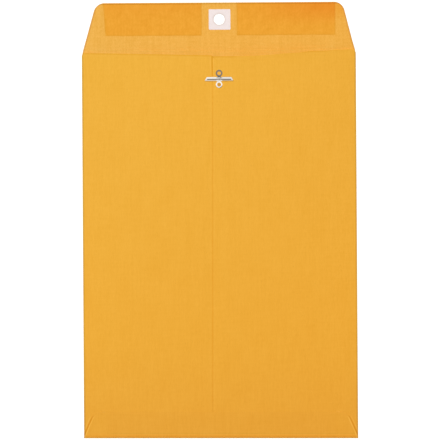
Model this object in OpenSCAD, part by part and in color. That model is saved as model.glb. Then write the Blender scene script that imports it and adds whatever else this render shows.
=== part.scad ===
// Kraft clasp envelope, lying on its plain front with the seal flap open.
// X runs across the envelope, Y from the bottom fold to the flap edge, Z up.
// The origin is on the table, under the middle of the whole length.

/* [Paper blank] */
// Width across the two side folds
body_w = 190.5; // [140:0.5:260]
// Height of the pocket, from the bottom fold to the top of the side folds
pocket_h = 266.7; // [200:0.5:360]
// Thickness of the kraft paper
paper_t = 0.15; // [0.12:0.01:0.2]
// Inside radius of a pressed side fold
fold_r = 0.1; // [0.06:0.01:0.2]
// Rise of the back of the pocket at its mouth, as the folds spring open
puff_h = 6; // [5:0.25:9]
// Width of the level stretch in the middle of the back, where the clasp sits
level_w = 40; // [34:1:60]
// Length of the level stretch, down from the tops of the side folds
level_l = 33; // [32:1:50]

/* [Mouth of the pocket] */
// Dip of the back's top edge at its middle, below the tops of the side folds
throat_dip = 1.4; // [0:0.1:6]
// Rise of that edge at its two ends, above the tops of the side folds
throat_rise = 1.5; // [0.5:0.1:2.5]
// Height of the flap's score line above the tops of the side folds
score_rise = 3.4; // [3:0.1:5]
// Depth of the pressed score line
score_depth = 0.05; // [0.02:0.01:0.08]
// Width of the pressed score line
score_w = 0.6; // [0.3:0.1:1.2]

/* [Back seam] */
// Distance of the outer panel's glued edge from the centreline, to the left
seam_offset = 4.9; // [4:0.1:12]
// Sideways run of that edge over the height of the pocket
seam_skew = 1.5; // [-2:0.1:2]
// Width of the glued overlap of the two side panels
seam_overlap = 12; // [10:0.5:16]
// Distance over which a panel comes down beside the overlap
seam_ease = 8; // [4:0.5:12]

/* [Seal flap] */
// Depth of the flap, from the score line to its edge
flap_h = 32.8; // [30:0.1:60]
// Slant of the flap's ends, from the direction of its depth
flap_slant = 15; // [8:0.1:20]
// Radius of the flap's two corners
flap_corner_r = 7; // [3:0.5:12]
// Step in at each shoulder, from the side fold to the end of the score line
shoulder_cut = 0.9; // [0.5:0.1:3]

/* [Bottom flap] */
// Depth of the glued bottom flap, from the bottom fold
bottom_flap_h = 17.3; // [12:0.1:25]
// Slant of the bottom flap's ends, from the direction of its depth
bottom_flap_slant = 20.5; // [12:0.5:35]
// Radius of the bottom flap's two corners
bottom_flap_corner_r = 8; // [2:0.5:9]
// Step in at each end of the bottom fold, from the side fold
bottom_flap_cut = 0.4; // [0.4:0.1:3]
// Gap between the side panels' bottom ends and the inside of the bottom fold
bottom_gap = 0.3; // [0.2:0.1:2]

/* [Seal gum] */
// Length of each strip of gum, along the flap
gum_l = 68.7; // [45:0.1:72]
// Depth of each strip of gum, in from the flap's edge
gum_h = 23; // [12:0.5:26]
// Bare middle of the flap, between the two strips
gum_gap = 24.2; // [20:0.2:40]
// Thickness of the dried gum
gum_t = 0.04; // [0.03:0.01:0.06]

/* [Flap hole and patch] */
// Diameter of the punched hole
hole_d = 7.5; // [7:0.1:9]
// Width of the patch round the hole
patch_w = 15.1; // [12:0.1:18]
// Height of the patch round the hole
patch_h = 14.2; // [12:0.1:18]
// Thickness of the patch
patch_t = 0.12; // [0.08:0.01:0.2]
// Extra reach of the hole past the clasp, for what the pocket holds
fill_allowance = 0.5; // [0:0.1:1.5]
// Distance of the gum, the patch and the hole from the centreline, to the right
flap_shift = 0.4; // [0:0.1:1.5]

/* [Clasp] */
// Distance of the clasp's middle below the score line
clasp_drop = 20.6; // [17:0.1:23]
// Distance of the clasp from the centreline, to the right
clasp_shift = 0.2; // [0:0.1:1]
// Thickness of the clasp's tinned steel
metal_t = 0.25; // [0.2:0.01:0.35]
// Distance from wing tip to wing tip, along the longer edge
wing_span = 18.8; // [15:0.2:24]
// Width of a wing
wing_w = 2.8; // [2.2:0.1:3]
// Height of the stiffening bead pressed along a wing
bead_h = 0.3; // [0.15:0.05:0.5]
// Width of that bead
bead_w = 1.5; // [1:0.1:2]
// Distance of the bead below the wing's middle
bead_drop = 0.2; // [0:0.05:0.2]
// Slant of the cut that ends a wing
wing_cut = 26; // [0:1:40]
// Space under a wing, above the strip that joins the eyelets
wing_lift = 0.15; // [0.1:0.05:0.5]
// Distance between the middles of the two eyelets
eyelet_pitch = 7.9; // [7.8:0.1:9]
// Outside diameter of an eyelet's rolled rim
eyelet_d = 4.8; // [4.2:0.1:4.9]
// Diameter of the hole through an eyelet
eyelet_bore_d = 2.6; // [1.8:0.1:2.9]
// Height of an eyelet's rolled rim above the paper
rim_h = 0.6; // [0.45:0.05:0.8]
// Diameter of the clinched ring inside the pocket
clinch_d = 4.2; // [3.8:0.1:4.6]
// Width of the strip that joins the eyelets
base_w = 2.2; // [1.8:0.1:2.6]
// Space between the two wings' roots
root_gap = 0.5; // [0.3:0.05:1]
// Radial clearance of an eyelet's barrel in the paper
barrel_clearance = 0.05; // [0.02:0.01:0.1]

/* [Hidden] */

kraft = "#efb13e";
gum_orange = "#eea335";
patch_white = "#f6ece6";
tinned_steel = "#c9cbcf";

// Places along the envelope
whole_l = pocket_h + score_rise + flap_h;
bottom_y = -whole_l / 2;
shoulder_y = bottom_y + pocket_h;
score_y = shoulder_y + score_rise;
edge_y = score_y + flap_h;
clasp_y = score_y - clasp_drop;
hole_y = score_y + clasp_drop + fill_allowance;

// Side folds: their outside radius, and where the flat sheet ends
fold_outer_r = fold_r + paper_t;
crease_x = body_w / 2 - fold_outer_r;
score_x = body_w / 2 - shoulder_cut;
back_z = 2 * fold_r + paper_t;

// The bottom fold goes round the front and both layers of the back
bottom_stack = back_z + 3 * paper_t;
bottom_r = bottom_stack / 2;
bottom_crease_y = bottom_y + bottom_r;
panel_end_y = bottom_crease_y + bottom_gap;
bottom_flap_end_y = bottom_y + bottom_flap_h;

// The clasp sits on both layers of the seam
seat_z = back_z + puff_h + 2 * paper_t;

// Bow of the mouth's edge: 1 is two straight cuts, 2 a parabola
throat_bow = 1.4;

// Steps of the curved back, of a fold and of a corner
puff_rows = 10;
side_columns = 8;
fold_steps = 6;
corner_steps = 12;
fine = 96;
// Reach of a cutter past the face that it cuts
over = 1;
// Flat stretch of the back past the bottom flap, and between two of its bends
flat_run = 1;

// Eases from 0 to 1 with level ends
function ease(s) = let (c = min(max(s, 0), 1)) c * c * (3 - 2 * c);

function arc(centre, r, from, to, steps) =
    [for (i = [0:steps]) let (a = from + (to - from) * i / steps)
        [centre.x + r * cos(a), centre.y + r * sin(a)]];

// Corner of a slanted end and a level edge at the right, rounded, from low to high
function slant_corner(end_x, edge, slant, r) =
    let (cy = edge - r, cx = end_x - r * tan(45 - slant / 2))
    arc([cx, cy], r, slant, 90, corner_steps);

function reversed(list) = [for (i = [len(list) - 1:-1:0]) list[i]];

function mirrored(points) = [for (i = [len(points) - 1:-1:0]) [-points[i].x, points[i].y]];

// Left edge of the outer panel, as X, at a height
function seam_x(y) = -seam_offset + seam_skew * (y - bottom_y - pocket_h / 2) / pocket_h;

// Top edge of the back, at a distance across, inside the notch that ends each side fold
function throat_y(x) =
    let (bow = (throat_dip + throat_rise) * pow(abs(x) / crease_x, throat_bow) - throat_dip,
         notch = max(0, (crease_x - abs(x)) * score_rise / (crease_x - score_x)))
    shoulder_y + min(notch, bow);

// Rise of the back above its flat state, level in the middle of the mouth
puff_start_y = bottom_flap_end_y + flat_run;
puff_end_y = shoulder_y - level_l;
function across(x) =
    let (s = max(abs(x) - level_w / 2, 0) / (crease_x - level_w / 2)) 1 - s * s;
function puff(x, y) =
    puff_h * across(x) * ease((y - puff_start_y) / (puff_end_y - puff_start_y));

// Share of one paper's thickness by which the back rises to meet the bottom flap
function under_flap(x, y) =
    ease(2 - (y - bottom_y - flat_run) / bottom_flap_h) * ease((crease_x - abs(x)) / seam_ease);

// Underside of the inner panel, which comes from the left side fold
function left_low(x, y) =
    let (beside = ease((seam_x(y) - x) / seam_ease))
    back_z + puff(x, y) + paper_t * under_flap(x, y) * beside;

// Underside of the outer panel, which comes from the right side fold
function right_low(x, y) =
    let (past = ease((x - seam_x(y) - seam_overlap) / seam_ease))
    back_z + puff(x, y) + paper_t * (1 - past * (1 - under_flap(x, y)));

// Half ring of the left side fold, from the front round to the back, as X and Z
function fold_arc(r) = arc([-crease_x, fold_outer_r], r, 270, 90, fold_steps);

// Distances from the centreline of the columns of one side, from its fold to a place near the seam
function side_xs(ease_x) =
    let (a = crease_x - seam_ease, b = max(level_w / 2, ease_x + flat_run))
    concat([crease_x - throat_rise * (crease_x - score_x) / score_rise],
           [for (i = [0:side_columns]) a + (b - a) * i / side_columns]);

// Columns of the left panel, from the fold to the seam
function left_columns(y) =
    let (edge = seam_x(y))
    concat(-side_xs(seam_ease - edge), [edge - seam_ease, edge - seam_ease / 2]);

// Columns of the right panel, from the overlap to the fold
function right_columns(y) =
    let (lap = seam_x(y) + seam_overlap)
    concat([lap + seam_ease / 2, lap + seam_ease], reversed(side_xs(lap + seam_ease)));

// Outside of the back, from the left fold's front to the right fold's front
function outside(y) =
    let (edge = seam_x(y), lap = edge + seam_overlap)
    concat(
        fold_arc(fold_outer_r),
        [for (x = left_columns(y)) [x, left_low(x, y) + paper_t]],
        [[edge, left_low(edge, y) + paper_t], [edge, right_low(edge, y) + paper_t]],
        [[lap, right_low(lap, y) + paper_t]],
        [for (x = right_columns(y)) [x, right_low(x, y) + paper_t]],
        mirrored(fold_arc(fold_outer_r)));

// Inside of the back, in the same order
function inside(y) =
    let (edge = seam_x(y), lap = edge + seam_overlap)
    concat(
        fold_arc(fold_r),
        [for (x = left_columns(y)) [x, left_low(x, y)]],
        [[edge, left_low(edge, y)]],
        [[lap, left_low(lap, y)], [lap, right_low(lap, y)]],
        [for (x = right_columns(y)) [x, right_low(x, y)]],
        mirrored(fold_arc(fold_r)));

// Rows of the back: one flat stretch under the bottom flap, the rise and the mouth
row_ys = concat([panel_end_y],
                [for (i = [0:puff_rows]) puff_start_y + (puff_end_y - puff_start_y) * i / puff_rows],
                [shoulder_y]);

// Both side folds and the back of the pocket, with its glued seam
module back() {
    last = len(row_ys) - 1;
    n = len(outside(bottom_y));
    points = [for (j = [0:last]) let (y = row_ys[j])
        for (p = concat(outside(y), reversed(inside(y)))) [p.x, j == last ? throat_y(p.x) : y, p.y]];
    skin = [for (j = [0:last - 1]) for (i = [0:2 * n - 1])
        let (k = (i + 1) % (2 * n), a = j * 2 * n, b = a + 2 * n)
        for (f = [[a + i, b + i, b + k], [a + i, b + k, a + k]]) f];
    // An end of the paper, as strips between the outside and the inside
    cut = len(fold_arc(fold_r)) + len(left_columns(bottom_y));
    strips = [for (i = [0:n - 2]) if (i < cut || i > cut + 1)
        for (f = [[i, i + 1, 2 * n - 2 - i], [i, 2 * n - 2 - i, 2 * n - 1 - i]]) f];
    low = cut;
    lap_high = cut + 2;
    seam = [[low, low + 1, lap_high], [low, lap_high, 2 * n - 1 - lap_high],
            [low, 2 * n - 1 - lap_high, 2 * n - lap_high],
            [low, 2 * n - lap_high, 2 * n - 1 - low]];
    bottom_end = concat(strips, seam);
    top_end = [for (f = bottom_end) [for (i = [2:-1:0]) f[i] + last * 2 * n]];
    polyhedron(points, concat(skin, bottom_end, top_end));
}

// Front panel and seal flap, one flat sheet with the punched hole and the score
module front_sheet() {
    right = concat([[crease_x, bottom_crease_y], [crease_x, shoulder_y], [score_x, score_y]],
                   slant_corner(score_x - flap_h * tan(flap_slant), edge_y, flap_slant, flap_corner_r));
    difference() {
        linear_extrude(paper_t) polygon(concat(right, mirrored(right)));
        translate([flap_shift, hole_y, -over]) cylinder(d = hole_d, h = paper_t + 2 * over, $fn = fine);
        translate([-body_w / 2, score_y, paper_t]) rotate([90, 0, 90])
            linear_extrude(body_w) polygon([[-score_w / 2, 0], [0, -score_depth], [score_w / 2, 0]]);
    }
}

// Bottom fold and the flap that it turns up over the back
module bottom_flap() {
    fold_x = body_w / 2 - bottom_flap_cut;
    end_x = fold_x - bottom_flap_h * tan(bottom_flap_slant);
    crease_half = fold_x - bottom_r * tan(bottom_flap_slant);
    right = concat([[crease_half, bottom_crease_y]],
                   slant_corner(end_x, bottom_flap_end_y, bottom_flap_slant, bottom_flap_corner_r));
    translate([0, 0, bottom_stack - paper_t])
        linear_extrude(paper_t) polygon(concat(right, mirrored(right)));
    ring = concat(arc([bottom_crease_y, bottom_r], bottom_r, 90, 270, 2 * fold_steps),
                  arc([bottom_crease_y, bottom_r], bottom_r - paper_t, 270, 90, 2 * fold_steps));
    translate([-crease_half, 0, 0]) rotate([90, 0, 90]) linear_extrude(2 * crease_half) polygon(ring);
}

// One folded and glued blank of kraft paper
module envelope() color(kraft) {
    barrel_hole_d = eyelet_bore_d + 2 * (metal_t + barrel_clearance);
    difference() {
        union() {
            front_sheet();
            back();
            bottom_flap();
        }
        for (side = [-1, 1])
            translate([clasp_shift, clasp_y + side * eyelet_pitch / 2, back_z + puff_h - over])
                cylinder(d = barrel_hole_d, h = 2 * paper_t + 2 * over, $fn = fine);
    }
}

// A strip of dried gum, up to the flap's edge
module gum_strip(side) color(gum_orange)
    translate([flap_shift + side * (gum_gap + gum_l) / 2, edge_y - gum_h / 2, paper_t + gum_t / 2])
        cube([gum_l, gum_h, gum_t], center = true);

module seal_gum_left() gum_strip(-1);

module seal_gum_right() gum_strip(1);

// Square of white stock that keeps the hole from tearing
module hole_patch() color(patch_white)
    translate([flap_shift, hole_y, paper_t]) difference() {
        translate([0, 0, patch_t / 2]) cube([patch_w, patch_h, patch_t], center = true);
        translate([0, 0, -over]) cylinder(d = hole_d, h = patch_t + 2 * over, $fn = fine);
    }

// An eyelet: a rolled rim on the paper, a barrel through it and a clinched ring inside
module eyelet() {
    bore_r = eyelet_bore_d / 2;
    roll_w = eyelet_d / 2 - bore_r;
    under = -2 * paper_t;
    rotate_extrude($fn = fine) polygon(concat(
        [[bore_r, under - metal_t], [clinch_d / 2, under - metal_t], [clinch_d / 2, under],
         [bore_r + metal_t, under], [bore_r + metal_t, 0], [bore_r + roll_w, 0]],
        [for (i = [0:corner_steps]) let (a = 180 * i / corner_steps)
            [bore_r + roll_w / 2 * (1 + cos(a)), metal_t + (rim_h - metal_t) * sin(a)]]));
}

// Underside of a wing across its width: flat edges and the bead between them
function wing_section() = concat(
    [[-wing_w / 2, 0]],
    [for (i = [0:corner_steps]) let (s = i / corner_steps)
        [-bead_drop + bead_w * (s - 1 / 2), bead_h * (1 - cos(360 * s)) / 2]],
    [[wing_w / 2, 0]]);

// A wing: a strip with a bead along it and a slanting end, joined at its root
module wing() {
    low_z = metal_t + wing_lift;
    high_z = low_z + bead_h + metal_t;
    section = wing_section();
    tip_x = function (y) wing_span / 2 - (y + wing_w / 2) * tan(wing_cut);
    intersection() {
        translate([root_gap / 2, 0, low_z]) rotate([90, 0, 90]) linear_extrude(wing_span)
            polygon(concat([for (p = section) [p.x, p.y + metal_t]], reversed(section)));
        linear_extrude(high_z + over)
            polygon([[0, -wing_w], [tip_x(-wing_w), -wing_w], [tip_x(wing_w), wing_w], [0, wing_w]]);
    }
    translate([root_gap / 2, -base_w / 2, 0]) cube([metal_t, base_w, low_z + metal_t]);
}

// The clasp, one stamping: two eyelets on a strip and two wings over it
module clasp() color(tinned_steel)
    translate([clasp_shift, clasp_y, seat_z]) {
        difference() {
            translate([-base_w / 2, -eyelet_pitch / 2, 0]) cube([base_w, eyelet_pitch, metal_t]);
            for (side = [-1, 1]) translate([0, side * eyelet_pitch / 2, -over])
                cylinder(d = eyelet_bore_d + metal_t, h = metal_t + 2 * over, $fn = fine);
        }
        for (side = [-1, 1]) translate([0, side * eyelet_pitch / 2, 0]) eyelet();
        wing();
        mirror([1, 0, 0]) wing();
    }

envelope();
seal_gum_left();
seal_gum_right();
hole_patch();
clasp();
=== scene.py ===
"""Kraft clasp envelope, lying on its plain front with the seal flap open.

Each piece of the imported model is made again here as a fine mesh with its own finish: the folded
paper blank, the two strips of dried gum, the patch round the flap's hole and the tinned clasp.
Lengths are in metres, X runs across the envelope, Y from the bottom fold to the flap's edge, Z up.
"""

import math
from collections import namedtuple

import bmesh
import bpy
from bpy.props import FloatProperty, FloatVectorProperty, PointerProperty
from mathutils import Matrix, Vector


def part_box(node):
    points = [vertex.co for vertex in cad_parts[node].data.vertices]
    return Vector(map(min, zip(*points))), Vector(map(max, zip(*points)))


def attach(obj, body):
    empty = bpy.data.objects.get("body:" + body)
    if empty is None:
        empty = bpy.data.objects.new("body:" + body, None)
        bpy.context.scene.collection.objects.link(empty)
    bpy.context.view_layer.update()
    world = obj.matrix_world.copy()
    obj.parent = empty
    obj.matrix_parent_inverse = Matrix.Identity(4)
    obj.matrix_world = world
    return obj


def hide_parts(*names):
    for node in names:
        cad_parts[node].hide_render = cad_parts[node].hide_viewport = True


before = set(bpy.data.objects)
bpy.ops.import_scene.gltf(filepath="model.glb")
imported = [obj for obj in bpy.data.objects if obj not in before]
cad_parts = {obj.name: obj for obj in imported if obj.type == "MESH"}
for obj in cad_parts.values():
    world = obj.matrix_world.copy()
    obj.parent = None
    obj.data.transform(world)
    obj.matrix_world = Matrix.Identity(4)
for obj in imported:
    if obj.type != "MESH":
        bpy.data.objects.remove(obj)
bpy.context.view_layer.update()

bl_info = {
    "name": "Clasp envelope",
    "version": (1, 0, 0),
    "blender": (4, 5, 0),
    "location": "3D View > Sidebar > Envelope",
    "description": "Folds a kraft clasp envelope round its packed model and lights it",
    "category": "Object",
}

MM = 0.001

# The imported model's box, and the boxes of its pieces
BLANK_LOW, BLANK_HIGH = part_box("envelope")
PATCH_LOW, PATCH_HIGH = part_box("hole_patch")
CLASP_LOW, CLASP_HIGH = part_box("clasp")

BODY_W = BLANK_HIGH.x - BLANK_LOW.x
HOLE = (PATCH_LOW + PATCH_HIGH) / 2
CLASP = (CLASP_LOW + CLASP_HIGH) / 2


def display_colour(red, green, blue):
    """Linear colour that shows as these 8-bit display values."""
    def linear(value):
        share = value / 255
        return share / 12.92 if share <= 0.04045 else ((share + 0.055) / 1.055) ** 2.4
    return (linear(red), linear(green), linear(blue))


def length(name, millimetres, description):
    """A length that the user can set, with its default in millimetres."""
    return FloatProperty(name=name, description=description, default=millimetres * MM,
                         unit="LENGTH", precision=5)


def angle(name, degrees, description):
    """An angle that the user can set, with its default in degrees."""
    return FloatProperty(name=name, description=description, default=math.radians(degrees),
                         unit="ROTATION", subtype="ANGLE")


def colour(name, display, description):
    """A colour that the user can set, with its default as 8-bit display values."""
    return FloatVectorProperty(name=name, description=description, size=3, subtype="COLOR",
                               default=display_colour(*display), min=0, max=1)


class BlankSizes(bpy.types.PropertyGroup):
    """Sizes of the folded and glued paper blank"""
    paper_t: length("Paper thickness", 0.15, "Thickness of the kraft paper")
    pocket_h: length("Pocket height", 266.7, "From the bottom fold to the tops of the side folds")
    fold_r: length("Fold radius", 0.1, "Inside radius of a pressed side fold")
    puff_h: length("Puff", 6, "Rise of the back at the pocket's mouth")
    level_w: length("Level width", 40, "Width of the level stretch under the clasp")
    level_l: length("Level length", 33, "Length of the level stretch under the clasp")
    seam_offset: length("Seam offset", 4.9, "Distance of the seam's edge left of the centreline")
    seam_skew: length("Seam skew", 1.5, "Sideways run of the seam's edge over the pocket's height")
    seam_overlap: length("Seam overlap", 12, "Width of the glued overlap of the side panels")
    seam_ease: length("Seam ease", 8, "Distance over which a panel comes down beside the overlap")
    seam_bow: length("Seam bow", 0.35, "Stray of the seam's edge to the left above the clasp")
    seam_lift: length("Seam lift", 0.04, "Rise of the outer panel's edge off the glue")
    bottom_out_of_square: angle("Bottom fold out of square", 0.33,
                                "Turn of the bottom fold from square with the side folds")
    cockle: length("Cockle", 0.05, "Height of the paper's soft waves")


class MouthSizes(bpy.types.PropertyGroup):
    """Sizes of the pocket's mouth, all from the tops of the side folds"""
    left_dip: length("Left dip", 0.9, "Depth of the inner panel's edge at the seam")
    left_rise: length("Left rise", 1.55, "Height of the inner panel's edge at its fold")
    right_dip: length("Right dip", 1.45, "Depth of the outer panel's edge at the seam")
    right_rise: length("Right rise", 2.6, "Height of the outer panel's edge near its fold")
    ripple: length("Ripple", 0.25, "Height of the ripple in the outer panel's edge")
    shoulder_rise: length("Right shoulder rise", 1.0,
                          "Height of the right fold's top over the left")
    lip_lift: length("Lip lift", 0.1, "Rise of the mouth's edge off its panel")
    bend_l: length("Bend length", 14, "Length of the panel that the edge's run is spread over")


class SealFlapSizes(bpy.types.PropertyGroup):
    """Sizes of the open seal flap"""
    score_rise: length("Score rise", 3.4, "Height of the score line above the side folds")
    score_depth: length("Score depth", 0.05, "Depth of the pressed score line")
    score_w: length("Score width", 0.9, "Width of the pressed score line")
    shoulder_cut: length("Shoulder cut", 0.9, "Step in from a side fold to the score line's end")
    slant: angle("Slant", 15, "Slant of the flap's ends")
    corner_r: length("Corner radius", 7.8, "Radius of the flap's corners")
    curl: length("Curl", 0.35, "Rise of the flap's edge off the table")
    lean: length("Lean", 0.45, "Sideways run of the open flap over its depth")
    hole_d: length("Hole", 7.5, "Diameter of the punched hole")


class BottomFlapSizes(bpy.types.PropertyGroup):
    """Sizes of the glued bottom flap"""
    depth: length("Depth", 18.2, "From the bottom fold to the flap's edge")
    run: length("Straight run", 1.45, "Height at which the slant of the flap's ends starts")
    slant: angle("Slant", 24, "Slant of the flap's ends")
    corner_r: length("Corner radius", 8, "Radius of the flap's corners")
    lift: length("Lift", 0.1, "Rise of the flap's ends off the glue")


class GumSizes(bpy.types.PropertyGroup):
    """Sizes of the strips of dried gum"""
    film_t: length("Film thickness", 0.04, "Thickness of the dried gum")
    feather: length("Feather", 0.35, "Width over which the film thins out at its border")
    wander: length("Wander", 0.12, "How far the film's border strays from a straight line")
    left_cut: length("Left cut", 1.6, "Step in of the left strip's lower left corner")


class PatchSizes(bpy.types.PropertyGroup):
    """Sizes of the patch round the hole"""
    stock_t: length("Stock thickness", 0.12, "Thickness of the patch's stock")
    edge_r: length("Edge radius", 0.04, "Rounding of the patch's cut edges")
    press: length("Press", 0.03, "How far the punch pressed the stock down at the hole")
    shift: length("Shift", 0.28, "Distance of the patch's middle right of the hole")
    drop: length("Drop", 0.15, "Distance of the patch's middle below the hole")


class ClaspSizes(bpy.types.PropertyGroup):
    """Sizes of the clasp, one stamping of tinned steel"""
    metal_t: length("Metal thickness", 0.25, "Thickness of the tinned steel")
    wing_w: length("Wing width", 2.8, "Width of a wing")
    wing_drop: length("Wing drop", 0.05, "Distance of the wings' middle line below the clasp's")
    wing_cut: angle("Wing cut", 30, "Slant of the cut that ends a wing")
    left_reach: length("Left reach", 10.2, "From the clasp's middle to the left wing's tip")
    right_reach: length("Right reach", 9.95, "From the clasp's middle to the right wing's tip")
    wing_lift: length("Wing lift", 0.15, "Space under a wing")
    bead_h: length("Bead height", 0.3, "Height of the bead pressed along a wing")
    bead_w: length("Bead width", 1.5, "Width of that bead")
    bead_drop: length("Bead drop", 0.2, "Distance of the bead below the wing's middle")
    bead_short: length("Bead stop", 1.4, "Distance of the bead's end from the wing's tip")
    eyelet_pitch: length("Eyelet pitch", 7.9, "Distance between the eyelets' middles")
    eyelet_shift: length("Eyelet shift", 0.1, "Distance of the eyelets left of the clasp's middle")
    eyelet_d: length("Eyelet diameter", 4.7, "Outside diameter of an eyelet's rolled rim")
    upper_bore_d: length("Upper bore", 2.35, "Diameter of the hole through the upper eyelet")
    lower_bore_d: length("Lower bore", 2.65, "Diameter of the hole through the lower eyelet")
    rim_h: length("Rim height", 0.6, "Height of an eyelet's rolled rim above the paper")
    clinch_d: length("Clinch diameter", 4.2, "Diameter of the clinched ring inside the pocket")
    base_w: length("Base width", 2.2, "Width of the strip that joins the eyelets")
    neck_w: length("Neck width", 3, "Width of that strip where it meets the lower eyelet")
    root_gap: length("Root gap", 0.5, "Space between the two wings' roots")
    edge_r: length("Edge radius", 0.05, "Rounding of the stamped edges")


class Finishes(bpy.types.PropertyGroup):
    """Colours of the papers, the gum and the metal"""
    outside_top: colour("Outside, top", (239, 178, 64.2), "Outside of the paper near the mouth")
    outside_middle: colour("Outside, middle", (239.6, 175.2, 61.1), "Outside of the paper, halfway")
    outside_low: colour("Outside, low", (238, 172, 59), "Outside of the paper, low down")
    outside_bottom: colour("Outside, bottom", (233.9, 166.8, 58.2),
                           "Outside of the paper at the bottom")
    right_tint: colour("Right tint", (254, 249.4, 243), "Tint of the outside at the right fold")
    inside_left: colour("Inside, left", (238.8, 177.5, 78.5),
                        "Inside of the paper, on the flap's left")
    inside_right: colour("Inside, right", (239.5, 174.1, 71.9), "Inside of the paper, on its right")
    cut_edge: colour("Cut edge", (236, 190, 110), "Torn fibres of a cut edge")
    # Painted shade: a thin dark line along the paper's folded outline
    outline_shade: colour("Rim tone", (235, 240, 250), "Tint of a burnished fold")
    # Painted shade: a thin dark line along the seal flap's ends and the inside's outline
    inside_outline_shade: colour("Worn tone", (238, 234, 250), "Tint of the seal flap's worn ends")
    # Painted shade: the dark line just inside the seal flap's upper edge
    flap_edge_shade: colour("Edge tone", (222, 217, 210), "Tint of the line along the flap's edge")
    torn_fibres: colour("Torn fibres", (222, 200, 140), "Pale fibres on the flap's edge")
    # Painted shade: darkens the inside beside the mouth, against the light bounced from the pocket
    mouth_shade: colour("Mouth tone", (245.5, 252.5, 255), "Tint of the inside near the mouth")
    fold_tone: colour("Fold tone", (253.6, 252.4, 253.2), "Tint of the bottom flap beside the back")
    # Painted shade of a crease above the bottom fold, and the painted highlight of the ridge below
    # it
    crease_shade: colour("Crease", (248, 254, 252), "Tint of the crease above the bottom fold")
    ridge_highlight: colour("Raised crease", (250, 165, 62), "Tone of the ridge below that crease")
    fold_flank: colour("Fold flank", (250.5, 240.5, 227),
                       "Tint of the paper beside the bottom fold")
    # Painted shade: darkens the paper seen in the lower eyelet's bore
    eyelet_shade: colour("Metal stain", (217, 213, 250), "Tint of the paper in the lower eyelet")
    # Painted shadow and painted highlight beside a glued edge, the mouth and the bottom flap's ends
    lap_shadow: colour("Lap shadow", (235, 213, 134), "Tint of the line beside a glued edge")
    lap_highlight: colour("Lap light", (250, 190, 80), "Tone of a rubbed, glued edge")
    gum: colour("Gum", (236.8, 162.9, 52.8), "Dried gum")
    gum_deep: colour("Thick gum", (233.5, 137.8, 38.7), "Dried gum where it lies thick")
    gum_haze: colour("Gum haze", (253, 240, 212), "Tint of the paper beside the thick gum")
    gum_border: colour("Gum border", (249, 252, 255), "Tint of the gum's border")
    patch: colour("Patch", (243, 229.5, 226), "White stock of the patch")
    tin: colour("Tin", (224, 221, 214), "Tinned steel")
    # Painted highlight on the tinned steel
    tin_highlight: colour("Bright tin", (254, 249, 240), "Tinned steel where it is polished")
    # Painted reflection of the kraft on a wing's lower flank
    mirrored_kraft: colour("Mirrored kraft", (203, 160, 88),
                           "Flank of a wing that mirrors the paper")
    # Painted shade and dark reflection on the tinned steel
    shade_and_dark_reflection: colour("Tarnish", (74, 66, 62), "Tinned steel where it is rubbed dull")


class StageSettings(bpy.types.PropertyGroup):
    """Camera, lamps and floor"""
    lens: FloatProperty(name="Lens", description="Focal length of the camera, in millimetres",
                        default=300, unit="CAMERA")
    frame_w: length("Frame width", 305.9, "Width that the camera takes in at the table")
    aim_x: length("Aim across", 0.12, "Place that the camera looks at, across")
    aim_y: length("Aim along", 0.2, "Place that the camera looks at, along")
    turn: angle("Camera turn", -0.35, "Turn of the camera about the line of sight")
    key: FloatProperty(name="Key softbox", description="Power of the softbox over the flap",
                       default=625, unit="POWER")
    room: FloatProperty(name="Room light", description="Strength of the room's even light",
                        default=0.06, min=0)
    floor_tone: colour("Floor", (232, 232, 232), "Pale floor")


class EnvelopeSettings(bpy.types.PropertyGroup):
    """Every size and finish of the clasp envelope"""
    blank: PointerProperty(type=BlankSizes, name="Blank", description="The paper blank")
    mouth: PointerProperty(type=MouthSizes, name="Mouth", description="The pocket's mouth")
    flap: PointerProperty(type=SealFlapSizes, name="Seal flap", description="The seal flap")
    bottom: PointerProperty(type=BottomFlapSizes, name="Bottom flap",
                            description="The bottom flap")
    gum: PointerProperty(type=GumSizes, name="Gum", description="The seal gum")
    patch: PointerProperty(type=PatchSizes, name="Patch", description="The hole's patch")
    clasp: PointerProperty(type=ClaspSizes, name="Clasp", description="The clasp")
    finish: PointerProperty(type=Finishes, name="Finishes", description="The colours")
    stage: PointerProperty(type=StageSettings, name="Stage", description="Camera and lamps")


def ease(value):
    """Goes from 0 to 1 with level ends."""
    held = min(max(value, 0.0), 1.0)
    return held * held * (3 - 2 * held)


def stations(start, *stretches):
    """Places from start on, with each stretch given as its end and the step along it."""
    places = [start]
    for end, step in stretches:
        begin = places[-1]
        count = max(1, round(abs(end - begin) / step))
        places += [begin + (end - begin) * i / count for i in range(1, count + 1)]
    return places


def mirrored(places):
    """The same places on the other side of zero, in rising order."""
    return [-place for place in reversed(places)]


# Stands for every distance that is too long to matter
FAR = 20.0

# A place on the paper, and how far it lies from the outline, a glued edge and the bottom fold:
# the outline in widths of its line of painted shade, the others in millimetres
Spot = namedtuple("Spot", "x y z rim_gap lap_gap lap_wear fold_gap", defaults=(FAR,))


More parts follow.
